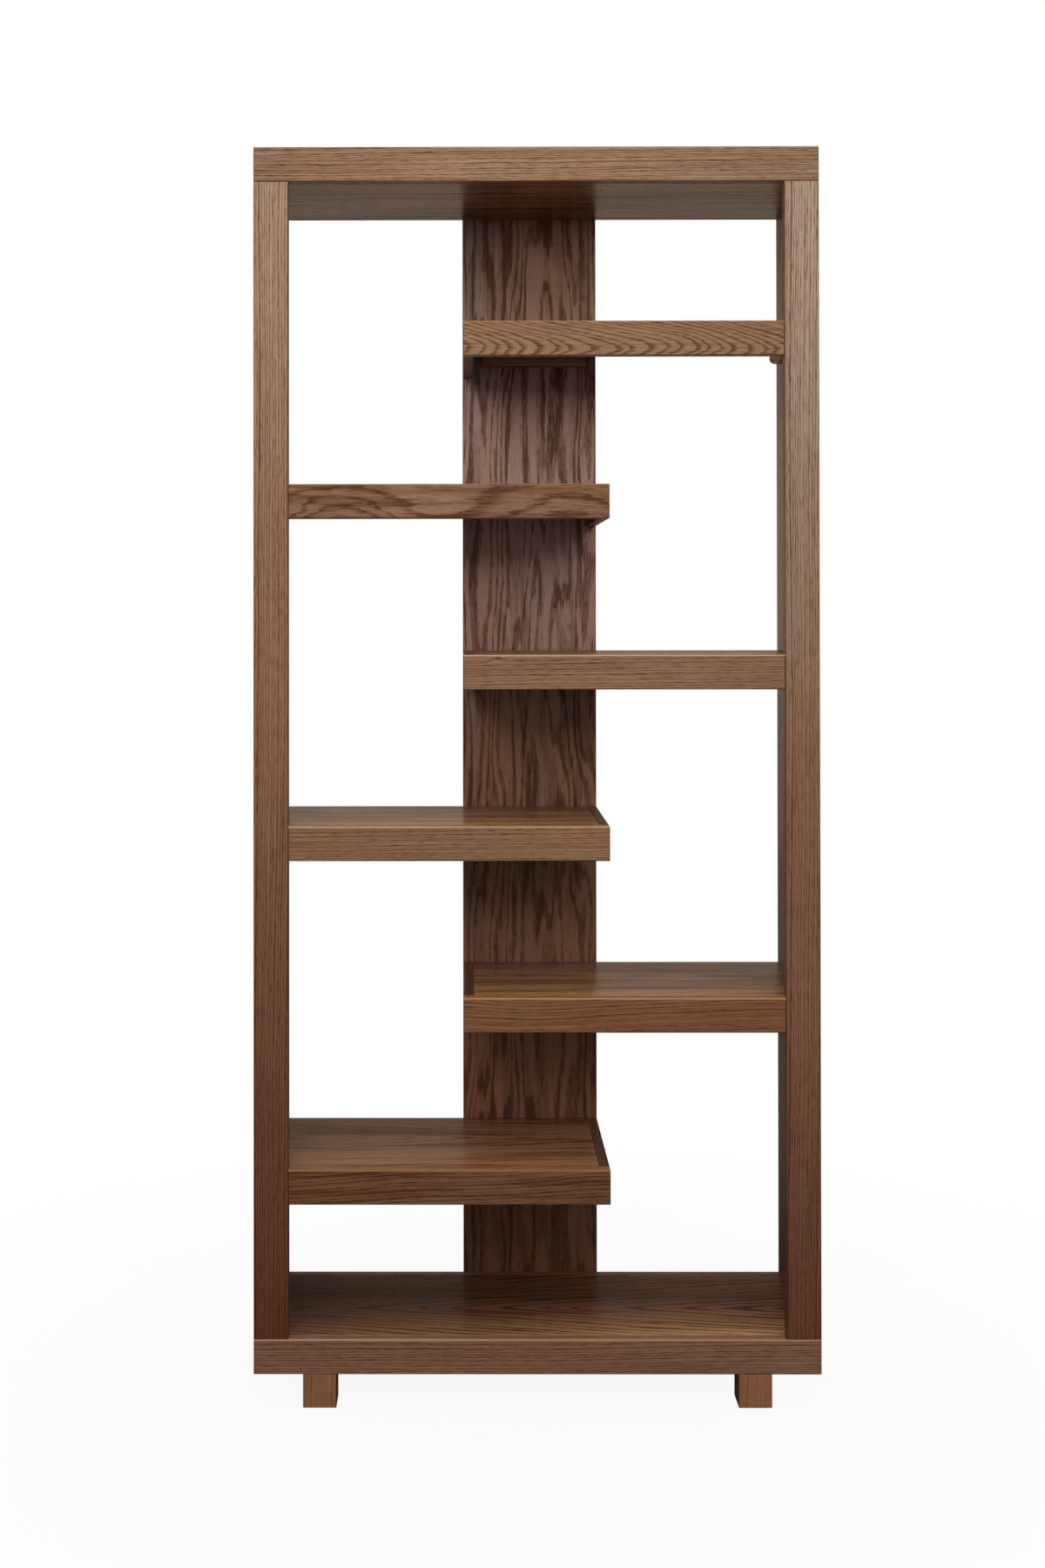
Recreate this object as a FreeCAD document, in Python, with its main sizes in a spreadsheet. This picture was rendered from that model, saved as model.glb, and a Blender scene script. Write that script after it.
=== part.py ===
import FreeCAD, Part
import os
import re
import Sketcher

# Staircase bookshelf: an open oak bookcase whose half-width shelves step up
# to the left and to the right of one central spine board.
# Millimetres: +X right, +Y towards the back, +Z up, origin on the floor in the middle of the plan.

Vector = FreeCAD.Vector
Z_AXIS = Vector(0, 0, 1)

# Driving sizes
SIZES = {
    "overall_width": 850,
    "carcass_depth": 304,
    "top_height": 52,
    "base_height": 52,
    "rail_thickness": 20,
    "back_rail_thickness": 16,
    "skin_thickness": 16,
    "batten_width": 50,
    "stile_width": 52,
    "side_thickness": 16,
    "spine_width": 220,
    "spine_thickness": 16,
    "first_step": 253,
    "shelf_pitch": 257,
    "last_step": 245,
    "top_gap": 210,
    "shelf_edge": 52,
    "shelf_thickness": 16,
    "shelf_end_thickness": 16,
    "cleat_width": 18,
    "cleat_height": 18,
    "cleat_round": 8,
    "side_cleat_gap": 42,
    "spine_cleat_gap": 16,
    "foot_width": 50,
    "foot_height": 50,
    "foot_inset": 74,
    "foot_counterbore": 18,
    "arris": 1.2,
    "dowel_diameter": 8,
    "dowel_length": 40,
    "dowel_chamfer": 1,
    "dowel_inset": 40,
    "dowel_spacing": 24,
    "screw_diameter": 4,
    "screw_head": 8,
    "screw_cover": 4,
    "recess_length": 4,
    "recess_width": 1,
    "recess_depth": 1.2,
    "cleat_screw_inset": 30,
    "shelf_screw_inset": 60,
    "spine_screw_inset": 40,
    "spine_screw_bite": 18,
    "foot_screw_diameter": 6,
    "foot_screw_head": 12,
    "foot_screw_head_height": 4,
    "foot_recess_length": 6,
    "foot_recess_width": 1.4,
    "foot_recess_depth": 2,
    "bore_play": 0.1,
    "tip_gap": 1,
}

# Shelf steps of one equal pitch, between the first and the last step, which are lower
EQUAL_STEPS = 4
SHELVES = EQUAL_STEPS + 2
SIDES = ("left", "right")
COUNTERSINK_ANGLE = 90

# Planes and lengths worked out from the driving sizes
PLACES = {
    "half_width": "overall_width / 2",
    "half_spine": "spine_width / 2",
    "front": "-(carcass_depth + spine_thickness) / 2",
    "behind_rails": "front + rail_thickness",
    "back": "front + carcass_depth",
    "behind_spine": "back + spine_thickness",
    "inside_depth": "carcass_depth - rail_thickness - back_rail_thickness",
    "board_depth": "carcass_depth - rail_thickness",
    "base_top": "foot_height + base_height",
    "upright_height": f"first_step + {EQUAL_STEPS} * shelf_pitch + last_step + top_gap",
    "top_bottom": "base_top + upright_height",
    "top_face": "top_bottom + top_height",
    "inner_side": "half_width - side_thickness",
    "inner_stile": "half_width - stile_width",
    "inner_end": "half_spine - shelf_end_thickness",
    "foot_line": "half_width - foot_inset - foot_width / 2",
    "dowel_bore": "dowel_diameter + 2 * bore_play",
    "dowel_depth": "dowel_length / 2 + tip_gap",
    "screw_bore": "screw_diameter + 2 * bore_play",
    "screw_sink": "screw_head + 2 * bore_play",
    "screw_head_height": "(screw_head - screw_diameter) / 2",
    "cleat_screw_rise": "(cleat_height + cleat_round) / 2",
    "shelf_screw_edge": "(cleat_width - cleat_round) / 2",
    "side_cleat_screw": "cleat_width + side_thickness - screw_cover",
    "spine_cleat_screw": "cleat_width + spine_thickness - screw_cover",
    "shelf_screw": "cleat_height + shelf_thickness - screw_cover",
    "spine_screw": "spine_thickness + back_rail_thickness + spine_screw_bite",
    "foot_screw_bore": "foot_screw_diameter + 2 * bore_play",
    "foot_screw_bite": "base_height - 2 * skin_thickness - screw_cover",
    "foot_screw": "foot_height - foot_counterbore + skin_thickness + foot_screw_bite",
}

# Faces of a board: its axis, the plane to draw on, that plane's axes, sense of its normal, far side or not
FACES = {
    "left": ("x", "YZ_Plane", "yz", 1, False),
    "right": ("x", "YZ_Plane", "yz", 1, True),
    "front": ("y", "XZ_Plane", "xz", -1, False),
    "back": ("y", "XZ_Plane", "xz", -1, True),
    "bottom": ("z", "XY_Plane", "xy", 1, False),
    "top": ("z", "XY_Plane", "xy", 1, True),
}
DIRECTIONS = {
    "right": Vector(1, 0, 0),
    "left": Vector(-1, 0, 0),
    "backward": Vector(0, 1, 0),
    "forward": Vector(0, -1, 0),
    "up": Vector(0, 0, 1),
    "down": Vector(0, 0, -1),
}

document = FreeCAD.newDocument("StaircaseBookshelf")
sheet = document.addObject("Spreadsheet::Sheet", "Sizes")
for row, (alias, value) in enumerate(SIZES.items(), start=1):
    sheet.set(f"A{row}", alias)
    sheet.set(f"B{row}", str(value))
    sheet.setAlias(f"B{row}", alias)
document.recompute()

sub_parts = []
cuts = []


def expand(text):
    """Write an expression in cells of the sheet, with every place worked out."""
    def replace(match):
        name = match.group(0)
        if name in PLACES:
            return f"({expand(PLACES[name])})"
        return f"Sizes.{name}"
    return re.sub(r"[a-z_]+", replace, text)


def bind(item, path, text):
    """Tie one property of an object to the driving sizes."""
    item.setExpression(path, expand(text))


def bind_constraint(sketch, constraint, text):
    """Add a dimension to a sketch and tie it to the driving sizes."""
    number = sketch.addConstraint(constraint)
    bind(sketch, f"Constraints[{number}]", text)


def draw_rectangle(sketch, length, width):
    """Draw a rectangle from the sketch's origin."""
    corners = (Vector(0, 0, 0), Vector(2, 0, 0), Vector(2, 1, 0), Vector(0, 1, 0))
    for number, corner in enumerate(corners):
        sketch.addGeometry(Part.LineSegment(corner, corners[(number + 1) % 4]))
    for number in range(4):
        sketch.addConstraint(Sketcher.Constraint("Coincident", number, 2, (number + 1) % 4, 1))
        sketch.addConstraint(Sketcher.Constraint(("Horizontal", "Vertical")[number % 2], number))
    sketch.addConstraint(Sketcher.Constraint("Coincident", 0, 1, -1, 1))
    bind_constraint(sketch, Sketcher.Constraint("DistanceX", 0, 1, 0, 2, 2), length)
    bind_constraint(sketch, Sketcher.Constraint("DistanceY", 1, 1, 1, 2, 1), width)


def draw_circle(sketch, across, along, diameter):
    """Draw a circle at a distance from the sketch's two axes."""
    circle = sketch.addGeometry(Part.Circle(Vector(1, 1, 0), Z_AXIS, 1))
    bind_constraint(sketch, Sketcher.Constraint("Diameter", circle, 2), diameter)
    bind_constraint(sketch, Sketcher.Constraint("DistanceX", -1, 1, circle, 3, 1), across)
    bind_constraint(sketch, Sketcher.Constraint("DistanceY", -1, 1, circle, 3, 1), along)


def new_sketch(body, plane):
    """Start a sketch on one of the body's own planes."""
    sketch = body.newObject("Sketcher::SketchObject", "Sketch")
    support = next(item for item in body.Origin.OriginFeatures if item.Role == plane)
    sketch.AttachmentSupport = [(support, "")]
    sketch.MapMode = "FlatFace"
    return sketch


class Board:
    """A squared board: a rectangle padded upwards from its low corner, then eased and bored."""

    def __init__(self, label, corner, size):
        self.corner = dict(zip("xyz", corner))
        self.size = dict(zip("xyz", size))
        self.body = document.addObject("PartDesign::Body", "Body")
        self.body.Label = label
        for axis, place in self.corner.items():
            bind(self.body, f"Placement.Base.{axis}", place)
        outline = new_sketch(self.body, "XY_Plane")
        draw_rectangle(outline, self.size["x"], self.size["y"])
        self.pad = self.body.newObject("PartDesign::Pad", "Pad")
        self.pad.Profile = outline
        bind(self.pad, "Length", self.size["z"])
        document.recompute()

    def edges_on(self, face):
        """Numbers of the squared board's edges that lie in one face."""
        axis, _, _, _, far = FACES[face]
        level = getattr(self.pad.Shape.BoundBox, axis.upper() + ("Max" if far else "Min"))
        numbers = set()
        for number, edge in enumerate(self.pad.Shape.Edges, start=1):
            if all(abs(getattr(vertex.Point, axis) - level) < 1e-6 for vertex in edge.Vertexes):
                numbers.add(number)
        return numbers

    def fillet(self, numbers, radius):
        """Round some edges of the squared board."""
        fillet = self.body.newObject("PartDesign::Fillet", "Fillet")
        fillet.Base = (self.pad, [f"Edge{number}" for number in sorted(numbers)])
        bind(fillet, "Radius", radius)

    def ease(self, *faces):
        """Ease the arrises round the faces that show."""
        numbers = set().union(*(self.edges_on(face) for face in faces))
        self.fillet(numbers, "arris")
        return self

    def round_corner(self, one, other, radius):
        """Round the one edge where two faces meet."""
        self.fillet(self.edges_on(one) & self.edges_on(other), radius)
        return self

    def hole_sketch(self, face, points, diameter):
        """Draw holes on one face, at points given in the bookcase's own frame."""
        axis, plane, across, normal, far = FACES[face]
        sketch = new_sketch(self.body, plane)
        if far:
            bind(sketch, "AttachmentOffset.Base.z", f"{normal} * ({self.size[axis]})")
        for point in points:
            place = dict(zip("xyz", point))
            local = [f"({place[letter]}) - ({self.corner[letter]})" for letter in across]
            draw_circle(sketch, *local, diameter)
        return sketch

    def bore(self, face, points, diameter, depth):
        """Bore straight holes of one depth into a face."""
        _, _, _, normal, far = FACES[face]
        pocket = self.body.newObject("PartDesign::Pocket", "Pocket")
        pocket.Profile = self.hole_sketch(face, points, diameter)
        pocket.Reversed = (normal > 0) != far
        bind(pocket, "Length", depth)
        cuts.append(pocket)
        return self

    def countersink(self, face, points):
        """Drill countersunk screw holes through the board from a face."""
        _, _, _, normal, far = FACES[face]
        sketch = self.hole_sketch(face, points, "screw_bore")
        document.recompute()
        hole = self.body.newObject("PartDesign::Hole", "Hole")
        hole.Profile = sketch
        hole.Reversed = (normal > 0) != far
        document.recompute()
        hole.ThreadType = "None"
        hole.DepthType = "ThroughAll"
        hole.HoleCutType = "Countersink"
        hole.HoleCutCustomValues = True
        hole.HoleCutCountersinkAngle = COUNTERSINK_ANGLE
        bind(hole, "Diameter", "screw_bore")
        bind(hole, "HoleCutDiameter", "screw_sink")
        cuts.append(hole)
        return self


def board(label, corner, size):
    """Make a board that is a sub-part by itself."""
    piece = Board(label, corner, size)
    sub_parts.append(piece.body)
    return piece


def group(label, master, seats):
    """Make one sub-part of equal pieces, each turned to its direction at its seat."""
    links = []
    for place, direction in seats:
        link = document.addObject("App::Link", "Copy")
        link.LinkedObject = master
        link.LinkTransform = True
        link.Placement = FreeCAD.Placement(Vector(), FreeCAD.Rotation(Z_AXIS, DIRECTIONS[direction]))
        for axis, position in zip("xyz", place):
            bind(link, f"Placement.Base.{axis}", position)
        links.append(link)
    compound = document.addObject("Part::Compound", "Group")
    compound.Links = links
    compound.Label = label
    sub_parts.append(compound)


def make_dowel():
    """A grooveless dowel pin, centred on its middle and chamfered at both ends."""
    body = document.addObject("PartDesign::Body", "Dowel")
    sketch = new_sketch(body, "XY_Plane")
    circle = sketch.addGeometry(Part.Circle(Vector(0, 0, 0), Z_AXIS, 1))
    sketch.addConstraint(Sketcher.Constraint("Coincident", circle, 3, -1, 1))
    bind_constraint(sketch, Sketcher.Constraint("Diameter", circle, 2), "dowel_diameter")
    pad = body.newObject("PartDesign::Pad", "Pad")
    pad.Profile = sketch
    pad.SideType = "Symmetric"
    bind(pad, "Length", "dowel_length")
    document.recompute()
    rims = [number for number, edge in enumerate(pad.Shape.Edges, start=1) if edge.isClosed()]
    chamfer = body.newObject("PartDesign::Chamfer", "Chamfer")
    chamfer.Base = (pad, [f"Edge{number}" for number in rims])
    bind(chamfer, "Size", "dowel_chamfer")
    return body


def make_recessed(head, shank, floor, length, width, depth):
    """Join a screw's head and shank, and cut a cross recess into the head's flat face at the height floor."""
    screw = document.addObject("Part::Fuse", "Screw")
    screw.Base = head
    screw.Tool = shank
    slots = []
    for along, across in ((length, width), (width, length)):
        slot = document.addObject("Part::Box", "Slot")
        bind(slot, "Length", along)
        bind(slot, "Width", across)
        bind(slot, "Height", depth)
        bind(slot, "Placement.Base.x", f"-{along} / 2")
        bind(slot, "Placement.Base.y", f"-{across} / 2")
        bind(slot, "Placement.Base.z", floor)
        slots.append(slot)
    cross = document.addObject("Part::MultiFuse", "Cross")
    cross.Shapes = slots
    recessed = document.addObject("Part::Cut", "RecessedScrew")
    recessed.Base = screw
    recessed.Tool = cross
    return recessed


def make_screw(length):
    """A countersunk wood screw, its head's flat face at the origin and its tip upwards."""
    head = document.addObject("Part::Cone", "Head")
    bind(head, "Radius1", "screw_head / 2")
    bind(head, "Radius2", "screw_diameter / 2")
    bind(head, "Height", "screw_head_height")
    shank = document.addObject("Part::Cylinder", "Shank")
    bind(shank, "Radius", "screw_diameter / 2")
    bind(shank, "Height", f"{length} - screw_head_height")
    bind(shank, "Placement.Base.z", "screw_head_height")
    return make_recessed(head, shank, "0", "recess_length", "recess_width", "recess_depth")


def make_foot_screw():
    """A pan-head screw, the underside of its head at the origin and its tip upwards."""
    head = document.addObject("Part::Cylinder", "Head")
    bind(head, "Radius", "foot_screw_head / 2")
    bind(head, "Height", "foot_screw_head_height")
    bind(head, "Placement.Base.z", "-foot_screw_head_height")
    shank = document.addObject("Part::Cylinder", "Shank")
    bind(shank, "Radius", "foot_screw_diameter / 2")
    bind(shank, "Height", "foot_screw")
    recess = ("foot_recess_length", "foot_recess_width", "foot_recess_depth")
    return make_recessed(head, shank, "-foot_screw_head_height", *recess)


def outwards(side, distance):
    """Place along X at a distance from the middle, on one side."""
    return distance if side == "right" else f"-({distance})"


def reach(side, near, far):
    """Low corner and length along X of a board from near to far, measured outwards on one side."""
    corner = near if side == "right" else f"-({far})"
    return corner, f"({far}) - ({near})"


def opposite(side):
    """The other side."""
    return SIDES[1 - SIDES.index(side)]


def shelf_side(number):
    """Shelves step up from the floor, the lowest on the left."""
    return SIDES[(number + 1) % 2]


def shelf_top(number):
    """Height of a shelf's upper face."""
    if number < SHELVES:
        return f"base_top + first_step + {number - 1} * shelf_pitch"
    return f"base_top + first_step + {EQUAL_STEPS} * shelf_pitch + last_step"


def along_pair(start, length, inset):
    """Two places along a length, inset from both ends."""
    return f"{start} + {inset}", f"{start} + {length} - {inset}"


# Joint positions that two or more pieces share

def side_dowels(side, height):
    """Dowels in the end grain of a side panel."""
    across = outwards(side, "half_width - side_thickness / 2")
    depths = (
        "behind_rails + dowel_inset",
        "behind_rails + inside_depth / 2",
        "behind_rails + inside_depth - dowel_inset",
    )
    return [(across, depth, height) for depth in depths]


def stile_dowels(side, height):
    """Dowels in the end grain of a front stile."""
    middle = outwards(side, "half_width - stile_width / 2")
    places = (f"{middle} - dowel_spacing / 2", f"{middle} + dowel_spacing / 2")
    return [(place, "front + rail_thickness / 2", height) for place in places]


def shelf_dowels(number):
    """Dowels between a shelf's front rail and its stile."""
    across = outwards(shelf_side(number), "inner_stile")
    middle = f"{shelf_top(number)} - shelf_edge / 2"
    heights = (f"{middle} - dowel_spacing / 2", f"{middle} + dowel_spacing / 2")
    return [(across, "front + rail_thickness / 2", height) for height in heights]


def spine_screws(height):
    """Screws through the spine from behind."""
    places = ("-half_spine + spine_screw_inset", "half_spine - spine_screw_inset")
    return [(place, "behind_spine", height) for place in places]


def shelf_middle(number):
    """Height of the middle of a shelf panel's thickness."""
    return f"{shelf_top(number)} - shelf_thickness / 2"


def cleat_bottom(number):
    """Height of the underside of a shelf's cleats."""
    return f"{shelf_top(number)} - shelf_thickness - cleat_height"


def side_cleat_screws(number):
    """Screws from a side cleat into the side panel."""
    across = outwards(shelf_side(number), "inner_side - cleat_width")
    depths = along_pair("behind_rails", "board_depth - side_cleat_gap", "cleat_screw_inset")
    return [(across, depth, f"{cleat_bottom(number)} + cleat_screw_rise") for depth in depths]


def spine_cleat_start(number):
    """Left end of a spine cleat."""
    if shelf_side(number) == "right":
        return "-inner_end + spine_cleat_gap"
    return "-half_spine + spine_cleat_gap"


SPINE_CLEAT_LENGTH = "spine_width - shelf_end_thickness - 2 * spine_cleat_gap"


def spine_cleat_screws(number):
    """Screws from a spine cleat into the spine."""
    places = along_pair(spine_cleat_start(number), SPINE_CLEAT_LENGTH, "cleat_screw_inset")
    return [(place, "back - cleat_width", f"{cleat_bottom(number)} + cleat_screw_rise") for place in places]


def side_shelf_screws(number):
    """Screws up through a side cleat into the shelf panel."""
    across = outwards(shelf_side(number), "inner_side - shelf_screw_edge")
    depths = along_pair("behind_rails", "board_depth - side_cleat_gap", "shelf_screw_inset")
    return [(across, depth, cleat_bottom(number)) for depth in depths]


def spine_shelf_screws(number):
    """Screws up through a spine cleat into the shelf panel."""
    places = along_pair(spine_cleat_start(number), SPINE_CLEAT_LENGTH, "shelf_screw_inset")
    return [(place, "back - shelf_screw_edge", cleat_bottom(number)) for place in places]


def foot_screws(side):
    """Screws up through the front and the back foot of one side."""
    depths = ("front + (rail_thickness + foot_width) / 2", "back - (back_rail_thickness + foot_width) / 2")
    return [(outwards(side, "foot_line"), depth, "foot_counterbore") for depth in depths]


def build_slab(name, bottom, height, upright_face, upright_joint, spine_skin):
    """A hollow slab: four rails round two skins held apart by battens.

    upright_face is the face that meets the uprights at the height upright_joint,
    and spine_skin is the skin that takes the spine's screws.
    """
    front_corner = ("-half_width", "front", bottom)
    front_rail = board(f"{name}_front_rail", front_corner, ("overall_width", "rail_thickness", height))
    front_rail.ease("front", "left", "right")
    stile_points = stile_dowels("left", upright_joint) + stile_dowels("right", upright_joint)
    front_rail.bore(upright_face, stile_points, "dowel_bore", "dowel_depth")

    skin_heights = {"lower": bottom, "upper": f"{bottom} + {height} - skin_thickness"}
    screw_points = spine_screws(f"{skin_heights[spine_skin]} + skin_thickness / 2")
    back_corner = ("-half_width", "back - back_rail_thickness", bottom)
    back_rail = board(f"{name}_back_rail", back_corner, ("overall_width", "back_rail_thickness", height))
    back_rail.ease("back", "left", "right")
    back_rail.bore("back", screw_points, "screw_bore", "back_rail_thickness")

    for side in SIDES:
        across, thickness = reach(side, "inner_side", "half_width")
        end_size = (thickness, "inside_depth", height)
        end_rail = board(f"{name}_{side}_end_rail", (across, "behind_rails", bottom), end_size)
        end_rail.ease(side)
        end_rail.bore(upright_face, side_dowels(side, upright_joint), "dowel_bore", "dowel_depth")

    skins = {}
    for layer, level in skin_heights.items():
        size = ("2 * inner_side", "inside_depth", "skin_thickness")
        skins[layer] = board(f"{name}_{layer}_panel", ("-inner_side", "behind_rails", level), size)
    skins[spine_skin].bore("back", screw_points, "screw_bore", "spine_screw_bite + tip_gap")
    return skins


def batten(side, level, height):
    """A batten from front to back between the skins, on the line of the feet."""
    across = f"{outwards(side, 'foot_line')} - batten_width / 2"
    size = ("batten_width", "inside_depth", f"{height} - 2 * skin_thickness")
    return Board(f"{side} batten", (across, "behind_rails", f"{level} + skin_thickness"), size)


def join_battens(label, battens):
    """Keep the two battens of a slab as one sub-part of separate solids."""
    compound = document.addObject("Part::Compound", "Battens")
    compound.Links = [piece.body for piece in battens]
    compound.Label = label
    sub_parts.append(compound)


def build_top():
    """The top slab, with its lower skin flush with its rails."""
    build_slab("top", "top_bottom", "top_height", "bottom", "top_bottom", "lower")
    join_battens("top_core_battens", [batten(side, "top_bottom", "top_height") for side in SIDES])


def build_base():
    """The base slab on its four block feet."""
    skins = build_slab("base", "foot_height", "base_height", "top", "base_top", "upper")
    points = foot_screws("left") + foot_screws("right")
    skins["lower"].bore("bottom", points, "foot_screw_bore", "skin_thickness")
    battens = [batten(side, "foot_height", "base_height") for side in SIDES]
    for side, piece in zip(SIDES, battens):
        piece.bore("bottom", foot_screws(side), "foot_screw_bore", "foot_screw_bite + tip_gap")
    join_battens("base_core_battens", battens)
    for side in SIDES:
        depths = {"front": "front", "back": "back - foot_width"}
        for (name, depth), screw in zip(depths.items(), foot_screws(side)):
            corner = (f"{outwards(side, 'foot_line')} - foot_width / 2", depth, "0")
            foot = board(f"foot_{name}_{side}", corner, ("foot_width", "foot_width", "foot_height"))
            foot.ease("front", "back", "left", "right")
            foot.bore("bottom", [screw], "foot_screw_bore", "foot_height")
            foot.bore("bottom", [screw], "foot_screw_head + 2 * bore_play", "foot_counterbore")


def build_upright(side):
    """A thin side panel behind a broad front stile, which makes the upright look solid from the front."""
    inner = opposite(side)
    numbers = [number for number in range(1, SHELVES + 1) if shelf_side(number) == side]
    across, thickness = reach(side, "inner_side", "half_width")
    panel_size = (thickness, "board_depth", "upright_height")
    panel = board(f"{side}_side_panel", (across, "behind_rails", "base_top"), panel_size)
    panel.ease("back")
    panel.bore("bottom", side_dowels(side, "base_top"), "dowel_bore", "dowel_depth")
    panel.bore("top", side_dowels(side, "top_bottom"), "dowel_bore", "dowel_depth")
    screws = sum((side_cleat_screws(number) for number in numbers), [])
    panel.bore(inner, screws, "screw_bore", "side_cleat_screw - cleat_width + tip_gap")

    across, width = reach(side, "inner_stile", "half_width")
    stile_size = (width, "rail_thickness", "upright_height")
    stile = board(f"{side}_front_stile", (across, "front", "base_top"), stile_size)
    stile.ease("front")
    stile.bore("bottom", stile_dowels(side, "base_top"), "dowel_bore", "dowel_depth")
    stile.bore("top", stile_dowels(side, "top_bottom"), "dowel_bore", "dowel_depth")
    dowels = sum((shelf_dowels(number) for number in numbers), [])
    stile.bore(inner, dowels, "dowel_bore", "dowel_depth")


def spine_screw_heights():
    """Heights of the boards that the spine is screwed to, from the base to the top."""
    heights = ["base_top - skin_thickness / 2"]
    heights += [shelf_middle(number) for number in range(1, SHELVES + 1)]
    heights.append("top_bottom + skin_thickness / 2")
    return heights


def build_spine():
    """The spine board, on the back edges of the base, the shelves and the top."""
    corner = ("-half_spine", "back", "foot_height")
    spine = board("spine_panel", corner, ("spine_width", "spine_thickness", "top_face - foot_height"))
    spine.ease(*FACES)
    screws = sum((spine_screws(height) for height in spine_screw_heights()), [])
    spine.countersink("back", screws)
    cleat_screws = sum((spine_cleat_screws(number) for number in range(1, SHELVES + 1)), [])
    spine.bore("front", cleat_screws, "screw_bore", "spine_cleat_screw - cleat_width + tip_gap")


def build_shelf(number):
    """A shelf from a stile to the far edge of the spine, open below, with its two cleats."""
    side = shelf_side(number)
    free_end = opposite(side)
    name = f"shelf_{number}"
    level = shelf_top(number)
    rail_bottom = f"{level} - shelf_edge"
    panel_bottom = f"{level} - shelf_thickness"

    across, length = reach(side, "-half_spine", "inner_stile")
    rail_size = (length, "rail_thickness", "shelf_edge")
    rail = board(f"{name}_front_rail", (across, "front", rail_bottom), rail_size)
    rail.ease("front", free_end)
    rail.bore(side, shelf_dowels(number), "dowel_bore", "dowel_depth")

    across, thickness = reach(side, "-half_spine", "-inner_end")
    end_size = (thickness, "board_depth", "shelf_edge")
    end_rail = board(f"{name}_end_rail", (across, "behind_rails", rail_bottom), end_size)
    end_rail.ease(free_end, "back")

    across, length = reach(side, "-inner_end", "inner_side")
    panel_size = (length, "board_depth", "shelf_thickness")
    panel = board(f"{name}_panel", (across, "behind_rails", panel_bottom), panel_size)
    panel.ease("back")
    screws = side_shelf_screws(number) + spine_shelf_screws(number)
    panel.bore("bottom", screws, "screw_bore", "shelf_screw - cleat_height + tip_gap")
    screws = spine_screws(shelf_middle(number))
    panel.bore("back", screws, "screw_bore", "spine_screw - spine_thickness + tip_gap")

    across, width = reach(side, "inner_side - cleat_width", "inner_side")
    side_size = (width, "board_depth - side_cleat_gap", "cleat_height")
    side_cleat = board(f"{name}_side_cleat", (across, "behind_rails", cleat_bottom(number)), side_size)
    side_cleat.round_corner(free_end, "bottom", "cleat_round")
    side_cleat.countersink(free_end, side_cleat_screws(number))
    side_cleat.countersink("bottom", side_shelf_screws(number))

    spine_corner = (spine_cleat_start(number), "back - cleat_width", cleat_bottom(number))
    spine_size = (SPINE_CLEAT_LENGTH, "cleat_width", "cleat_height")
    spine_cleat = board(f"{name}_spine_cleat", spine_corner, spine_size)
    spine_cleat.round_corner("front", "bottom", "cleat_round")
    spine_cleat.countersink("front", spine_cleat_screws(number))
    spine_cleat.countersink("bottom", spine_shelf_screws(number))


def build_fixings():
    """Dowels and screws, each kind in one group."""
    numbers = range(1, SHELVES + 1)
    dowel_seats = []
    for side in SIDES:
        for level in ("base_top", "top_bottom"):
            points = side_dowels(side, level) + stile_dowels(side, level)
            dowel_seats += [(point, "up") for point in points]
    for number in numbers:
        dowel_seats += [(point, "right") for point in shelf_dowels(number)]
    group("dowels", make_dowel(), dowel_seats)

    spine_seats = []
    for height in spine_screw_heights():
        spine_seats += [(point, "forward") for point in spine_screws(height)]
    group("spine_screws", make_screw("spine_screw"), spine_seats)

    side_seats = []
    spine_cleat_seats = []
    shelf_seats = []
    for number in numbers:
        side_seats += [(point, shelf_side(number)) for point in side_cleat_screws(number)]
        spine_cleat_seats += [(point, "backward") for point in spine_cleat_screws(number)]
        points = side_shelf_screws(number) + spine_shelf_screws(number)
        shelf_seats += [(point, "up") for point in points]
    group("side_cleat_screws", make_screw("side_cleat_screw"), side_seats)
    group("spine_cleat_screws", make_screw("spine_cleat_screw"), spine_cleat_seats)
    group("shelf_screws", make_screw("shelf_screw"), shelf_seats)

    foot_seats = [(point, "up") for side in SIDES for point in foot_screws(side)]
    group("foot_screws", make_foot_screw(), foot_seats)


def check_model():
    """Stop if an object failed, a hole cut nothing or a sub-part has no sound solid."""
    for item in document.Objects:
        if "Invalid" in item.State or "Error" in item.State:
            raise RuntimeError(f"{item.Label} failed: {item.State}")
    for cut in cuts:
        if cut.BaseFeature.Shape.Volume - cut.Shape.Volume < 1:
            raise RuntimeError(f"{cut.Label} of {cut.getParentGeoFeatureGroup().Label} cuts nothing")
    for piece in sub_parts:
        if piece.Shape.isNull() or not piece.Shape.isValid() or not piece.Shape.Solids:
            raise RuntimeError(f"{piece.Label} has no sound solid")


def main():
    """Build every sub-part, check the model and write one file for each."""
    build_base()
    for side in SIDES:
        build_upright(side)
    build_spine()
    for number in range(1, SHELVES + 1):
        build_shelf(number)
    build_top()
    build_fixings()
    document.recompute()
    check_model()
    os.makedirs("parts", exist_ok=True)
    for piece in sub_parts:
        piece.Shape.exportStep(f"parts/{piece.Label}.step")
    print(len(sub_parts), "sub-parts,", sum(len(piece.Shape.Solids) for piece in sub_parts), "solids")


main()
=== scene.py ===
"""Looks of the staircase bookshelf: stained oak boards, pale inner wood, steel screws and a white studio."""

import logging
import math
from dataclasses import dataclass, replace
from enum import Enum
from itertools import product
from typing import Any, Mapping, Optional, Sequence, Union

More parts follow.
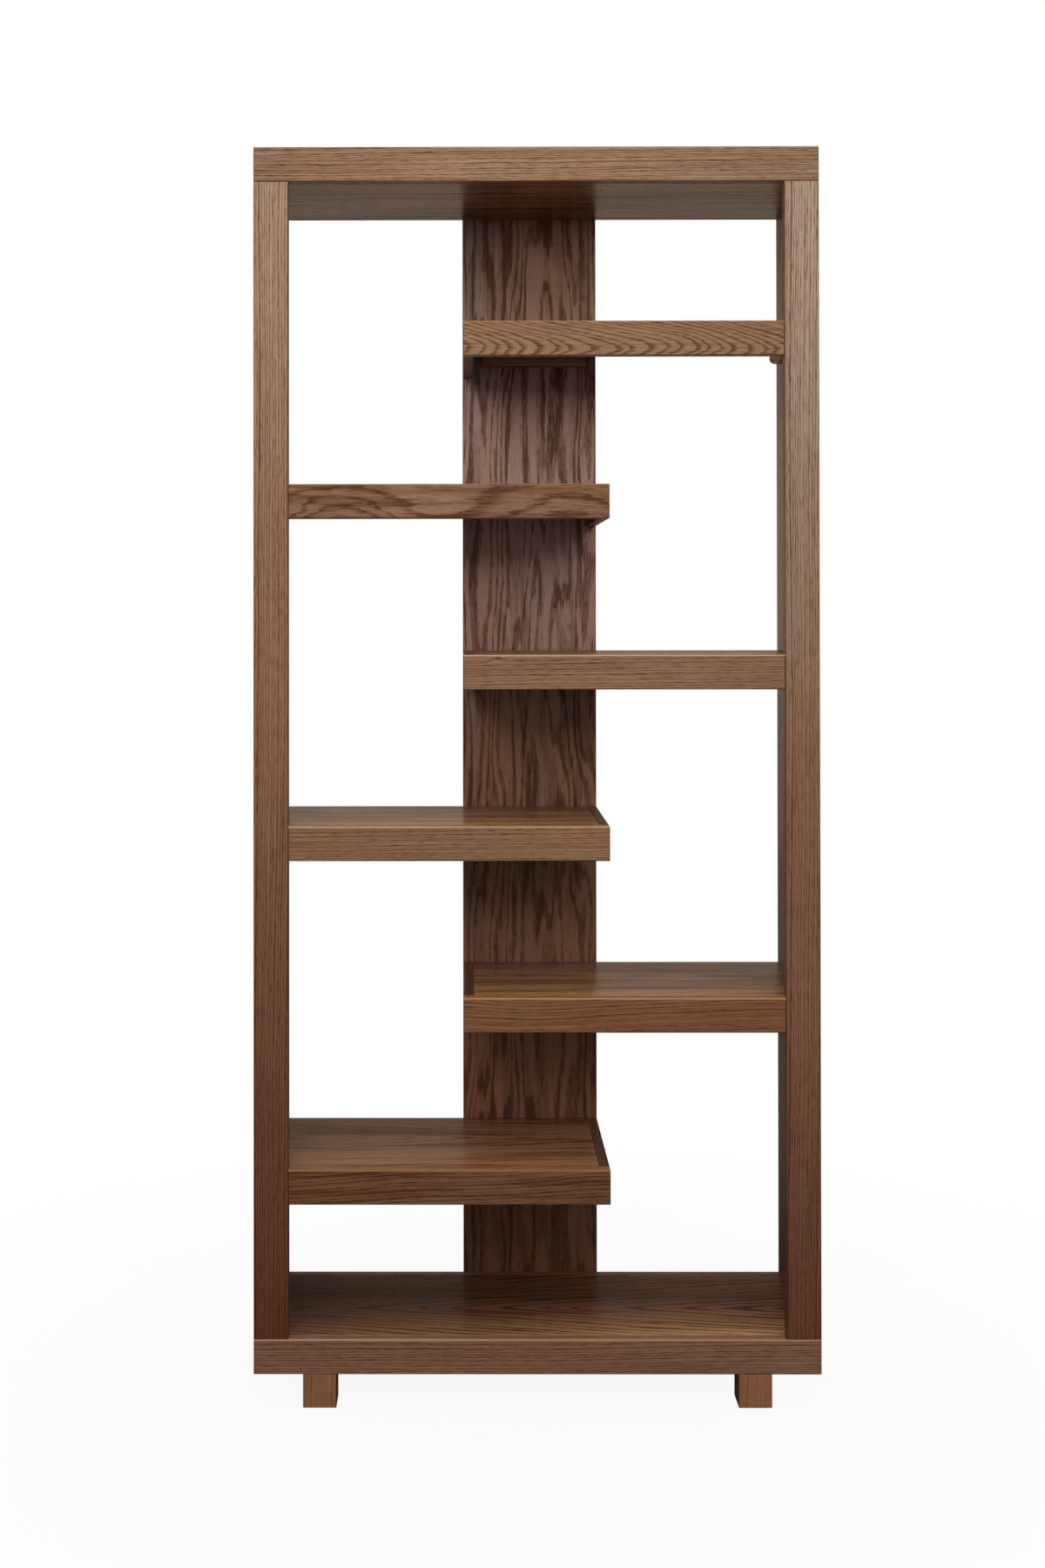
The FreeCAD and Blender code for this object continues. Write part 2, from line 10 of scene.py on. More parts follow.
import bpy
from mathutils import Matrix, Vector


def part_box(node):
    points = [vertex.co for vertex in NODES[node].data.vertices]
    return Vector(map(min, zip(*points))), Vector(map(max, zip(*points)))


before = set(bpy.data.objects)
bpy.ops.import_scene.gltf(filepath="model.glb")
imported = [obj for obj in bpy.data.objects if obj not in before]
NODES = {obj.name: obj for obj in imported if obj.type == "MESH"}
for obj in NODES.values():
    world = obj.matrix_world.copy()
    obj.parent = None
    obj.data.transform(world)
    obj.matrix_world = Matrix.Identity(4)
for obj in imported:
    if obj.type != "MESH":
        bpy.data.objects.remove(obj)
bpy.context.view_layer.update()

log = logging.getLogger("bookshelf")

Colour = tuple[float, float, float]
Stops = tuple[tuple[float, Colour], ...]
Step = tuple[float, float, float, float]
Term = Union["Signal", float]


class Axis(Enum):
    """Directions of the bookcase's frame."""

    X = 0
    Y = 1
    Z = 2


class Side(Enum):
    """The two sides of the bookcase, seen from the front."""

    LEFT = "left"
    RIGHT = "right"


class Signal:
    """A value socket of a shader, which arithmetic turns into Math nodes."""

    def __init__(self, graph: "Graph", socket: bpy.types.NodeSocket) -> None:
        """Keep the socket and the graph that its sums are added to.

        Args:
            graph: The graph that holds the socket's node.
            socket: The output socket to wrap.
        """
        self.graph = graph
        self.socket = socket

    def math(self, operation: str, *terms: Term) -> "Signal":
        """Add one Math node.

        Args:
            operation: Blender's name of the operation.
            terms: The operands, in order.

        Returns:
            The node's result.
        """
        node = self.graph.add("ShaderNodeMath", {"operation": operation}, dict(enumerate(terms)))
        return self.graph.out(node, 0)

    def __add__(self, other: Term) -> "Signal":
        """Sum of two terms."""
        return self.math("ADD", self, other)

    def __radd__(self, other: Term) -> "Signal":
        """Sum with a number on the left."""
        return self.math("ADD", other, self)

    def __sub__(self, other: Term) -> "Signal":
        """Difference of two terms."""
        return self.math("SUBTRACT", self, other)

    def __rsub__(self, other: Term) -> "Signal":
        """Difference from a number on the left."""
        return self.math("SUBTRACT", other, self)

    def __mul__(self, other: Term) -> "Signal":
        """Product of two terms."""
        return self.math("MULTIPLY", self, other)

    def __rmul__(self, other: Term) -> "Signal":
        """Product with a number on the left."""
        return self.math("MULTIPLY", other, self)

    def __truediv__(self, other: Term) -> "Signal":
        """Quotient of two terms."""
        return self.math("DIVIDE", self, other)

    def __rtruediv__(self, other: Term) -> "Signal":
        """Quotient of a number on the left."""
        return self.math("DIVIDE", other, self)

    def __abs__(self) -> "Signal":
        """Size without its sign."""
        return self.math("ABSOLUTE", self)

    def fraction(self) -> "Signal":
        """What is left above the whole number below."""
        return self.math("FRACT", self)

    def root(self) -> "Signal":
        """The square root."""
        return self.math("SQRT", self)

    def least(self, other: Term) -> "Signal":
        """The smaller of two terms."""
        return self.math("MINIMUM", self, other)

    def most(self, other: Term) -> "Signal":
        """The larger of two terms."""
        return self.math("MAXIMUM", self, other)

    def step(self, low: float, high: float, start: float = 0.0, end: float = 1.0) -> "Signal":
        """A smooth step from start at low to end at high.

        Args:
            low: Where the step begins.
            high: Where the step ends.
            start: The value at and below low.
            end: The value at and above high.

        Returns:
            The stepped value.
        """
        settings = {"interpolation_type": "SMOOTHSTEP", "clamp": True}
        sockets = {0: self, 1: low, 2: high, 3: start, 4: end}
        return self.graph.out(self.graph.add("ShaderNodeMapRange", settings, sockets), 0)


class Graph:
    """The node tree of one material or of the world."""

    def __init__(self, tree: bpy.types.NodeTree) -> None:
        """Clear the tree.

        Args:
            tree: The node tree to write in.
        """
        self.tree = tree
        tree.nodes.clear()

    def add(self, kind: str, settings: Mapping[str, Any], sockets: Mapping[Any, Any]) -> bpy.types.Node:
        """Add any node.

        Args:
            kind: Blender's type of the node.
            settings: The node's own properties, and a ramp's stops as pairs of place and colour.
            sockets: Values or signals for its inputs, by name or by number.

        Returns:
            The new node.
        """
        node = self.tree.nodes.new(kind)
        for name, value in settings.items():
            if name == "stops":
                self.set_stops(node.color_ramp.elements, value)
            else:
                setattr(node, name, value)
        for name, value in sockets.items():
            if isinstance(value, Signal):
                self.tree.links.new(value.socket, node.inputs[name])
            else:
                node.inputs[name].default_value = value
        return node

    @staticmethod
    def set_stops(elements: bpy.types.ColorRampElements, stops: Sequence[tuple[float, Colour]]) -> None:
        """Give a ramp its stops.

        Args:
            elements: The ramp's own stops, two at first.
            stops: Place and colour of each stop, from low to high.
        """
        while len(elements) < len(stops):
            elements.new(1.0)
        for element, (place, colour) in zip(elements, stops):
            element.position = place
            element.color = (*colour, 1.0)

    def out(self, node: bpy.types.Node, name: Any) -> Signal:
        """One output of a node, as a signal."""
        return Signal(self, node.outputs[name])

    def place(self) -> Signal:
        """The point on the surface, in metres in the bookcase's frame."""
        return self.out(self.add("ShaderNodeTexCoord", {}, {}), "Object")

    def mapped(self, point: Signal, scale: Sequence[float], shift: Sequence[float]) -> Signal:
        """A point scaled along the axes, then shifted.

        Args:
            point: The point to map.
            scale: One factor for each axis.
            shift: What is added to each scaled axis.

        Returns:
            The mapped point.
        """
        sockets = {"Vector": point, "Scale": tuple(scale), "Location": tuple(shift)}
        return self.out(self.add("ShaderNodeMapping", {"vector_type": "POINT"}, sockets), 0)

    def length(self, point: Signal) -> Signal:
        """Distance of a point from the origin."""
        return self.out(self.add("ShaderNodeVectorMath", {"operation": "LENGTH"}, {0: point}), "Value")

    def noise(self, point: Signal, detail: float) -> Signal:
        """Smooth noise about zero, of unit grain size."""
        node = self.add("ShaderNodeTexNoise", {}, {"Vector": point, "Scale": 1.0, "Detail": detail})
        return self.out(node, 0) - 0.5

    def relief(self, height: Signal, strength: float, depth: float) -> Signal:
        """The normal of a surface with a relief of some depth in metres."""
        sockets = {"Height": height, "Strength": strength, "Distance": depth}
        return self.out(self.add("ShaderNodeBump", {}, sockets), 0)

    def ramp(self, factor: Signal, stops: Sequence[tuple[float, Colour]]) -> Signal:
        """A colour read from a ramp."""
        return self.out(self.add("ShaderNodeValToRGB", {"stops": stops}, {"Fac": factor}), "Color")

    def mix(self, factor: Term, first: Any, second: Any, blend: str = "MIX") -> Signal:
        """Two colours mixed.

        Args:
            factor: Share of the second colour.
            first: Signal or colour with alpha.
            second: Signal or colour with alpha.
            blend: Blender's name of the blend.

        Returns:
            The mixed colour.
        """
        settings = {"data_type": "RGBA", "blend_type": blend}
        return self.out(self.add("ShaderNodeMix", settings, {0: factor, 6: first, 7: second}), 2)


def new_material(name: str) -> tuple[bpy.types.Material, Graph]:
    """Start a material of nodes.

    Args:
        name: The material's name.

    Returns:
        The material and its empty graph.
    """
    material = bpy.data.materials.new(name)
    material.use_nodes = True
    return material, Graph(material.node_tree)


def close_surface(graph: Graph, sockets: Mapping[str, Any]) -> None:
    """End a material in one shader.

    Args:
        graph: The material's graph.
        sockets: Inputs of the shader.
    """
    shader = graph.out(graph.add("ShaderNodeBsdfPrincipled", {}, sockets), 0)
    graph.add("ShaderNodeOutputMaterial", {}, {"Surface": shader})


def dress(node: str, material: bpy.types.Material) -> None:
    """Give one node of the model its material.

    Args:
        node: The node's name.
        material: The material that it wears.
    """
    materials = NODES[node].data.materials
    materials.clear()
    materials.append(material)
    log.info("dressed %s in %s", node, material.name)


def scaled(colour: Sequence[float], factors: Sequence[float]) -> Colour:
    """A colour with its red, green and blue each times a factor."""
    red, green, blue = (part * factor for part, factor in zip(colour, factors))
    return red, green, blue


@dataclass(frozen=True)
class Stain:
    """Colours of a stained wood, from its late wood to its open pores."""

    name: str
    light: Colour
    body: Colour
    dark: Colour

    def tinted(self, *tint: float) -> "Stain":
        """The same stain on a board that took it differently, or with light or shade painted into it.

        Args:
            tint: Factors for red, green and blue.

        Returns:
            The tinted stain.
        """
        return Stain(self.name, *(scaled(shade, tint) for shade in (self.light, self.body, self.dark)))


@dataclass(frozen=True)
class Waves:
    """Noise drawn out along the grain, with its waves per metre.

    A number sets it apart from the board's other noises, and detail counts its finer octaves.
    """

    along: float
    across: float
    number: float = 0.0
    detail: float = 1.0


@dataclass(frozen=True)
class Knot:
    """A knot, or a swirl where it has no eye, placed from the board's middle. Lengths are in metres."""

    along: float
    across: float
    eye: float
    reach: float
    push: float


BOARD_STRIDES = (3.7, 5.3, 1.9)
NOISE_STRIDES = (1.0, -1.0, 2.0)


@dataclass(frozen=True)
class Cut:
    """How a board was cut from its log. Lengths are in metres, waves per metre along and across the grain."""

    grain: Axis
    face: Axis
    ring: float = 0.005
    heart: float = 0.12
    offset: float = 0.10
    lean: float = 0.010
    bend: float = 0.008
    bend_waves: tuple[float, float] = (1.3, 11.0)
    waver: float = 0.002
    feather: float = 0.0015
    band: tuple[float, float] = (0.14, 0.62)
    lines: float = 1.0
    flame: float = 0.0
    flame_waves: tuple[float, float] = (6.0, 60.0)
    ragged: float = 0.30
    dashes: float = 1.0
    contrast: float = 1.0
    seed: float = 0.0
    knots: tuple[Knot, ...] = ()

    @property
    def across(self) -> Axis:
        """The direction across the grain in the board's face."""
        return next(axis for axis in Axis if axis not in (self.grain, self.face))

    def scales(self, waves: Waves) -> list[float]:
        """Waves per metre of a noise, for each axis of the frame."""
        return [waves.along if axis is self.grain else waves.across for axis in Axis]

    def shifts(self, waves: Waves) -> list[float]:
        """A shift of a noise that no other board has, for each axis of the frame."""
        return [self.seed * board + waves.number * own for board, own in zip(BOARD_STRIDES, NOISE_STRIDES)]


WAVER = Waves(7.0, 45.0, number=3.0, detail=2.0)
FEATHER = Waves(17.0, 240.0, number=7.0, detail=2.0)
PORES = Waves(55.0, 900.0, number=11.0, detail=1.5)
STREAKS = Waves(5.0, 360.0, number=13.0, detail=3.0)
BLOTCHES = Waves(2.4, 14.0, number=17.0, detail=2.0)
SWAY = Waves(2.2, 9.0, number=19.0)
HUES = Waves(1.8, 12.0, number=23.0)
RAGS = Waves(16.0, 260.0, number=31.0, detail=2.0)


@dataclass(frozen=True)
class Figure:
    """What shows of a board's grain, and the tone that it adds up to, from 0 for pale wood to 1 for dark."""

    early: Signal
    pores: Signal
    streaks: Signal
    blotches: Signal
    tone: Signal


class Grain:
    """The grain of one board as signals: growth rings, pores, streaks and knots."""

    YEAR_WAVES = 0.45
    YEAR_SPREAD = 1.6
    KNOT_STRETCH = 0.55
    EYE_CORE = 0.4
    ARRIS_CORE = 0.3
    CROWN_CORE = 0.4
    FACING = (0.4, 0.8)
    TONGUE_EDGE = (-0.07, 0.11)
    TONGUE_USUAL = 0.42
    PORE_EDGE = (-0.01, 0.15)
    PORE_USUAL = 0.40
    PORE_WEIGHT = 0.20
    PORES_IN_EARLY = 0.40
    EARLY_START = 0.10
    EARLY_USUAL = 0.72
    EARLY_WEIGHT = 0.60
    STREAK_WEIGHT = 0.50
    BLOTCH_WEIGHT = 0.36
    BODY_TONE = 0.45

    def __init__(self, graph: Graph, cut: Cut, low: Vector, high: Vector) -> None:
        """Place the board in its log.

        Args:
            graph: The material's graph.
            cut: How the board was cut.
            low: The board's lowest corner.
            high: The board's highest corner.
        """
        self.graph, self.cut, self.high = graph, cut, high
        self.size = high - low
        self.middle = (low + high) / 2
        self.place = graph.place()
        parts = graph.add("ShaderNodeSeparateXYZ", {}, {0: self.place})
        self.parts = {axis: graph.out(parts, axis.value) for axis in Axis}
        self.along = self.parts[cut.grain] - self.middle[cut.grain.value]
        self.aside = self.parts[cut.across] - self.middle[cut.across.value]

    def noise(self, waves: Waves, place: Optional[Signal] = None) -> Signal:
        """Noise drawn out along the grain.

        Args:
            waves: The noise.
            place: Where it is read, if not at the point on the surface.

        Returns:
            Noise about zero.
        """
        point = self.graph.mapped(place or self.place, self.cut.scales(waves), self.cut.shifts(waves))
        return self.graph.noise(point, waves.detail)

    def share(self, axis: Axis) -> Signal:
        """Place along one axis of the board, from 0 at its low end to 1 at its high end."""
        return (self.parts[axis] - self.middle[axis.value]) / self.size[axis.value] + 0.5

    def knot_distance(self, knot: Knot) -> Signal:
        """Distance from a knot, which is drawn out along the grain.

        Args:
            knot: The knot.

        Returns:
            The distance in metres across the grain.
        """
        aside = self.aside - knot.across
        along = (self.along - knot.along) * self.KNOT_STRETCH
        return (aside * aside + along * along).root()

    def rings(self) -> Signal:
        """Count growth rings outwards from the log's heart.

        Returns:
            The count, whose whole steps draw the lines.
        """
        cut, graph = self.cut, self.graph
        heart = self.parts[cut.face] - (self.middle[cut.face.value] + cut.heart)
        aside = self.aside - cut.offset
        radius = (heart * heart + aside * aside).root()
        bend = self.noise(Waves(*cut.bend_waves))
        warped = radius + self.along * cut.lean + bend * (2 * cut.bend) + self.noise(WAVER) * (2 * cut.waver)
        for knot in cut.knots:
            warped = warped + self.knot_distance(knot).step(0.0, knot.reach, knot.push, 0.0)
        count = (warped + self.noise(FEATHER) * (2 * cut.feather)) / cut.ring
        sockets = {"W": count, "Scale": self.YEAR_WAVES, "Detail": 1.0}
        years = graph.add("ShaderNodeTexNoise", {"noise_dimensions": "1D"}, sockets)
        return count + graph.out(years, 0) * self.YEAR_SPREAD

    def tongues(self) -> Signal:
        """Draw the dark tongues of flame figure, pointed along the grain.

        Returns:
            1 in a tongue, 0 beside it.
        """
        cut, graph = self.cut, self.graph
        sway = self.noise(SWAY) * (2 * cut.bend)
        aside = graph.out(graph.add("ShaderNodeCombineXYZ", {}, {cut.across.value: sway}), 0)
        swayed = graph.add("ShaderNodeVectorMath", {"operation": "ADD"}, {0: self.place, 1: aside})
        tongue = self.noise(Waves(*cut.flame_waves, number=29.0, detail=1.5), graph.out(swayed, 0))
        return (tongue + self.noise(RAGS) * cut.ragged).step(*self.TONGUE_EDGE)

    def eyes(self) -> Signal:
        """Draw the dark eyes of the knots.

        Returns:
            1 in an eye, 0 beside it.
        """
        dark = self.along * 0.0
        for knot in (knot for knot in self.cut.knots if knot.eye):
            dark = dark.most(self.knot_distance(knot).step(knot.eye * self.EYE_CORE, knot.eye, 1.0, 0.0))
        return dark

    def figure(self) -> Figure:
        """Add up what shows of the grain.

        Returns:
            The parts of the figure and its tone.
        """
        cut = self.cut
        ring = self.rings().fraction()
        early = ring.step(0.0, self.EARLY_START) * ring.step(*cut.band, 1.0, 0.0)
        usual = self.EARLY_USUAL * (sum(cut.band) - self.EARLY_START) / 2
        pores = self.noise(PORES).step(*self.PORE_EDGE) * cut.dashes
        streaks = self.noise(STREAKS)
        blotches = self.noise(BLOTCHES)
        lines = early * (pores * self.PORES_IN_EARLY + (1.0 - self.PORES_IN_EARLY)) - usual
        drawn = lines * (self.EARLY_WEIGHT * cut.lines) + (pores - self.PORE_USUAL) * self.PORE_WEIGHT
        drawn = drawn + streaks * self.STREAK_WEIGHT
        if cut.flame:
            drawn = drawn + (self.tongues() - self.TONGUE_USUAL) * cut.flame
        tone = drawn * cut.contrast + blotches * self.BLOTCH_WEIGHT + self.BODY_TONE
        return Figure(early, pores, streaks, blotches, tone)

    def edge(self, width: float) -> Signal:
        """How near a point is to an arris of its board.

        Args:
            width: Where the arris ends.

        Returns:
            1 on the arris, 0 beyond its width.
        """
        gaps = [self.size[axis.value] / 2 - abs(self.parts[axis] - self.middle[axis.value]) for axis in Axis]
        least = gaps[0].least(gaps[1]).least(gaps[2])
        most = gaps[0].most(gaps[1]).most(gaps[2])
        second = gaps[0] + gaps[1] + gaps[2] - least - most
        return second.step(width * self.ARRIS_CORE, width, 1.0, 0.0)

    def frontness(self) -> Signal:
        """Tell the front face from the others.

        Returns:
            1 on faces that look forwards, 0 on the others.
        """
        graph = self.graph
        normal = graph.out(graph.add("ShaderNodeTexCoord", {}, {}), "Normal")
        parts = graph.add("ShaderNodeSeparateXYZ", {}, {0: normal})
        return (0.0 - graph.out(parts, "Y")).step(*self.FACING)

    def crown(self, depth: float) -> Signal:
        """1 at the board's upper face, 0 from a depth below it down."""
        return (self.high.z - self.parts[Axis.Z]).step(depth * self.CROWN_CORE, depth, 1.0, 0.0)


@dataclass(frozen=True)
class Oak:
    """Oak under a satin lacquer: upper arrises pale with wear and a painted highlight, other arrises dark
    with dirt and painted shade, and tint ramps, most of them painted light and shade. Widths in metres.
    """

    COOL = (0.96, 1.02, 1.05, 1.0)
    WARM = (1.05, 0.97, 0.92, 1.0)
    HUE_EDGE = (-0.2, 0.2)
    EYE_DEPTH = 0.85
    # Dark arrises: dirt, and painted shade where edges and joints fall in shadow. Pale upper arrises: wear,
    # and a painted highlight where light from above catches them.
    DIRT_AND_SHADE_DEPTH = 0.75
    WEAR_AND_HIGHLIGHT_LEVEL = 0.9
    WEAR_AND_HIGHLIGHT_GAIN = (1.9, 2.1, 2.0)
    PORE_ROUGHNESS = 0.16
    STREAK_ROUGHNESS = 0.30
    BLOTCH_ROUGHNESS = 0.10
    STREAK_RELIEF = 0.5
    PORE_RELIEF = 0.3
    RELIEF = 0.3
    RELIEF_DEPTH = 0.0004

    stain: Stain
    cut: Cut
    # Tint ramps along the grain, across it, and on the front face along the grain; on the slabs, uprights and
    # spine they are painted light and shade.
    fade: Stops = ()
    fade_across: Stops = ()
    front: Optional[Stain] = None
    front_fade: Stops = ()
    sheen: Colour = (1.0, 0.82, 0.68)
    roughness: float = 0.38
    gloss: float = 0.5
    # Share and width of the pale upper arrises (wear and a painted highlight) and of the dark arrises (dirt
    # and painted shade).
    rubbed: float = 0.0
    rubbed_width: float = 0.0032
    dirt_and_shade_width: float = 0.0020
    dirty_top: float = 0.0

    def material(self, node: str) -> bpy.types.Material:
        """Make the material of one board.

        Args:
            node: The board's node.

        Returns:
            The board's own material.
        """
        material, graph = new_material(f"{self.stain.name}_{node}")
        grain = Grain(graph, self.cut, *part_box(node))
        figure = grain.figure()
        pores, streaks, blotches = figure.pores, figure.streaks, figure.blotches
        rough = pores * self.PORE_ROUGHNESS + streaks * self.STREAK_ROUGHNESS
        rough = rough + blotches * self.BLOTCH_ROUGHNESS + self.roughness
        height = streaks * self.STREAK_RELIEF - pores * (figure.early + self.PORE_RELIEF)
        close_surface(graph, {
            "Base Color": self.worn(grain, figure, self.stained(grain, figure)),
            "Roughness": rough,
            "Specular IOR Level": self.gloss,
            "Specular Tint": (*self.sheen, 1.0),
            "Normal": graph.relief(height, self.RELIEF, self.RELIEF_DEPTH),
        })
        return material

    def stained(self, grain: Grain, figure: Figure) -> Signal:
        """Stain the wood and multiply in its tint ramps, most of them painted light and shade.

        Args:
            grain: The board's grain.
            figure: What shows of it.

        Returns:
            The colour of the board before its knots and arris marks.
        """
        graph, cut, stain = grain.graph, self.cut, self.stain
        shades = ((0.0, stain.light), (grain.BODY_TONE, stain.body), (1.0, stain.dark))
        hue = graph.mix(grain.noise(HUES).step(*self.HUE_EDGE), self.COOL, self.WARM)
        wood = graph.mix(1.0, graph.ramp(figure.tone, shades), hue, "MULTIPLY")
        colour = wood
        # Painted light and shade, ramped along and across the board.
        for axis, fade in ((cut.grain, self.fade), (cut.across, self.fade_across)):
            if fade:
                colour = graph.mix(1.0, colour, graph.ramp(grain.share(axis), fade), "MULTIPLY")
        # The front face's stain, with its tint ramp: painted light and shade on the stiles and the spine.
        if self.front:
            face = graph.mix(1.0, wood, self.front_tint(grain), "MULTIPLY")
            colour = graph.mix(grain.frontness(), colour, face)
        return colour

    def front_tint(self, grain: Grain) -> Union[Signal, tuple[float, ...]]:
        """What turns the board's stain into that of its front face.

        Args:
            grain: The board's grain.

        Returns:
            A colour, or a signal where the front face's tint ramps along the grain.
        """
        ratio = [part / base for part, base in zip(self.front.body, self.stain.body)]
        if not self.front_fade:
            return (*ratio, 1.0)
        stops = [(place, scaled(tint, ratio)) for place, tint in self.front_fade]
        return grain.graph.ramp(grain.share(self.cut.grain), stops)

    def worn(self, grain: Grain, figure: Figure, colour: Signal) -> Signal:
        """Add the knots' eyes, dirt and painted shade along the arrises, and wear and a painted highlight on
        the upper arrises.

        Args:
            grain: The board's grain.
            figure: What shows of it.
            colour: The stained wood.

        Returns:
            The colour of the worn board.
        """
        graph, shown = grain.graph, self.front or self.stain
        dark = (*shown.dark, 1.0)
        if self.cut.knots:
            colour = graph.mix(grain.eyes() * self.EYE_DEPTH, colour, dark)
        crown = grain.crown(self.rubbed_width)
        # Dirt and painted shade darken the arrises, less so those of the upper face.
        dirt = grain.edge(self.dirt_and_shade_width) * (1.0 - crown * (1.0 - self.dirty_top)) * self.DIRT_AND_SHADE_DEPTH
        colour = graph.mix(dirt, colour, dark)
        # Wear and a painted highlight lighten the upper arrises in patches.
        if self.rubbed:
            patches = (figure.blotches + self.WEAR_AND_HIGHLIGHT_LEVEL) * self.rubbed
            rubbed = grain.edge(self.rubbed_width) * crown * patches
            colour = graph.mix(rubbed, colour, (*scaled(shown.light, self.WEAR_AND_HIGHLIGHT_GAIN), 1.0))
        return colour


@dataclass(frozen=True)
class BrownLacquer:
    """Brown lacquer on screw heads that show beside the wood. Waves are per metre, depth in metres."""

    colour: Colour = (0.120, 0.055, 0.032)
    worn: Colour = (0.165, 0.082, 0.050)
    worn_edge: tuple[float, float] = (0.35, 0.75)
    cloud_waves: float = 500.0
    roughness: float = 0.45
    uneven: float = 0.3
    relief: float = 0.15
    relief_depth: float = 0.0001

    def material(self, name: str) -> bpy.types.Material:
        """Make the material of the lacquered heads.

        Args:
            name: The material's name.

        Returns:
            The material.
        """
        material, graph = new_material(name)
        cloud = graph.noise(graph.mapped(graph.place(), (self.cloud_waves,) * 3, (0.0,) * 3), 3.0)
        shades = zip(self.worn_edge, (self.colour, self.worn))
        close_surface(graph, {
            "Base Color": graph.ramp(cloud + 0.5, tuple(shades)),
            "Roughness": cloud * self.uneven + self.roughness,
            "Normal": graph.relief(cloud, self.relief, self.relief_depth),
        })
        return material


@dataclass(frozen=True)
class Steel:
    """Plain zinc-plated steel, scratched by the driver. Waves are per metre, depth in metres."""

    dull: Colour = (0.24, 0.225, 0.20)
    colour: Colour = (0.42, 0.40, 0.37)
    dull_edge: tuple[float, float] = (0.3, 0.7)
    cloud_waves: float = 300.0
    scratch_waves: tuple[float, float, float] = (2600.0, 900.0, 2600.0)
    roughness: float = 0.36
    uneven: float = 0.3
    scratched: float = 0.2
    relief: float = 0.2
    relief_depth: float = 0.0001

    def material(self, name: str) -> bpy.types.Material:
        """Make the material of the screws.

        Args:
            name: The material's name.

        Returns:
            The material.
        """
        material, graph = new_material(name)
        place = graph.place()
        cloud = graph.noise(graph.mapped(place, (self.cloud_waves,) * 3, (0.0,) * 3), 3.0)
        scratch = graph.noise(graph.mapped(place, self.scratch_waves, (1.0,) * 3), 2.0)
        shades = zip(self.dull_edge, (self.dull, self.colour))
        close_surface(graph, {
            "Base Color": graph.ramp(cloud + 0.5, tuple(shades)),
            "Metallic": 1.0,
            "Roughness": cloud * self.uneven + scratch * self.scratched + self.roughness,
            "Normal": graph.relief(scratch, self.relief, self.relief_depth),
        })
        return material


OAK = Stain("oak", (0.225, 0.112, 0.068), (0.150, 0.063, 0.033), (0.068, 0.0195, 0.0073))
SPINE_OAK = Stain("spine_oak", (0.220, 0.133, 0.100), (0.140, 0.077, 0.054), (0.050, 0.021, 0.0125))
INNER_WOOD = Stain("inner_wood", (0.62, 0.44, 0.27), (0.50, 0.33, 0.19), (0.30, 0.18, 0.09))

RAIL = Cut(Axis.X, Axis.Y, ring=0.0025, bend=0.005, waver=0.001, feather=0.0006)
BOARD = Cut(Axis.X, Axis.Z, ring=0.013, heart=0.02, offset=0.02, waver=0.003, feather=0.002, ragged=0.15,
            dashes=0.5)
BOARD_ROUGHNESS = 0.28

EVEN = (1.0, 1.0, 1.0)
# Painted light and shade across the depth of the skins and shelf panels: paler at the front, where the light
# falls, darker at the back, in shade and under the spine's dark reflection.
TOP_PAINTED_LIGHT = ((0.0, (1.22, 1.20, 1.08)), (0.35, EVEN), (1.0, (0.80, 0.76, 0.72)))
SHELF_PAINTED_LIGHT = ((0.0, (1.50, 1.45, 1.20)), (0.35, EVEN), (1.0, (0.46, 0.43, 0.41)))
BASE_PAINTED_LIGHT = ((0.0, (2.25, 2.35, 2.10)), (0.22, (1.34, 1.30, 1.20)), (0.42, (0.82, 0.78, 0.78)),
              (0.65, (0.42, 0.38, 0.37)), (1.0, (0.60, 0.52, 0.50)))


def wear(node: str, stain: Stain, cut: Cut, **finish: Any) -> None:
    """Dress one board in stained oak.

    Args:
        node: The board's node.
        stain: The stain on it.
        cut: How it was cut.
        finish: Other fields of the oak.
    """
    dress(node, Oak(stain, cut, **finish).material(node))


@dataclass(frozen=True)
class Slab:
    """The top or the base: a hollow slab of four rails and two skins."""

    name: str
    rail_stain: Stain
    skin_stain: Stain
    rail: Cut
    skin: Cut
    depth_fade: Stops
    skin_fade: Stops = ()
    skin_gloss: float = 0.5
    # Share of wear and painted highlight on the front rail's upper arrises.
    rubbed: float = 0.0

    def dress(self) -> None:
        """Dress the rails, the skins and the hidden battens."""
        ends = Cut(Axis.Y, Axis.X, seed=self.rail.seed + 1)
        # The front rail's top and hidden faces take the skin's stain at the painted light of the skin's front
        # edge.
        front_tint = self.depth_fade[0][1]
        painted_lit_edge_stain = self.skin_stain.tinted(*front_tint)
        wear(f"{self.name}_front_rail", painted_lit_edge_stain, self.rail, front=self.rail_stain, rubbed=self.rubbed)
        wear(f"{self.name}_back_rail", OAK, self.rail)
        for part in ("left_end_rail", "right_end_rail"):
            wear(f"{self.name}_{part}", OAK, ends)
        for part in ("upper_panel", "lower_panel"):
            # The skins carry painted light and shade across their depth, and the base's skins also along
            # their width.
            wear(f"{self.name}_{part}", self.skin_stain, self.skin, fade=self.skin_fade,
                 fade_across=self.depth_fade, roughness=BOARD_ROUGHNESS, gloss=self.skin_gloss)
        wear(f"{self.name}_core_battens", INNER_WOOD, ends)


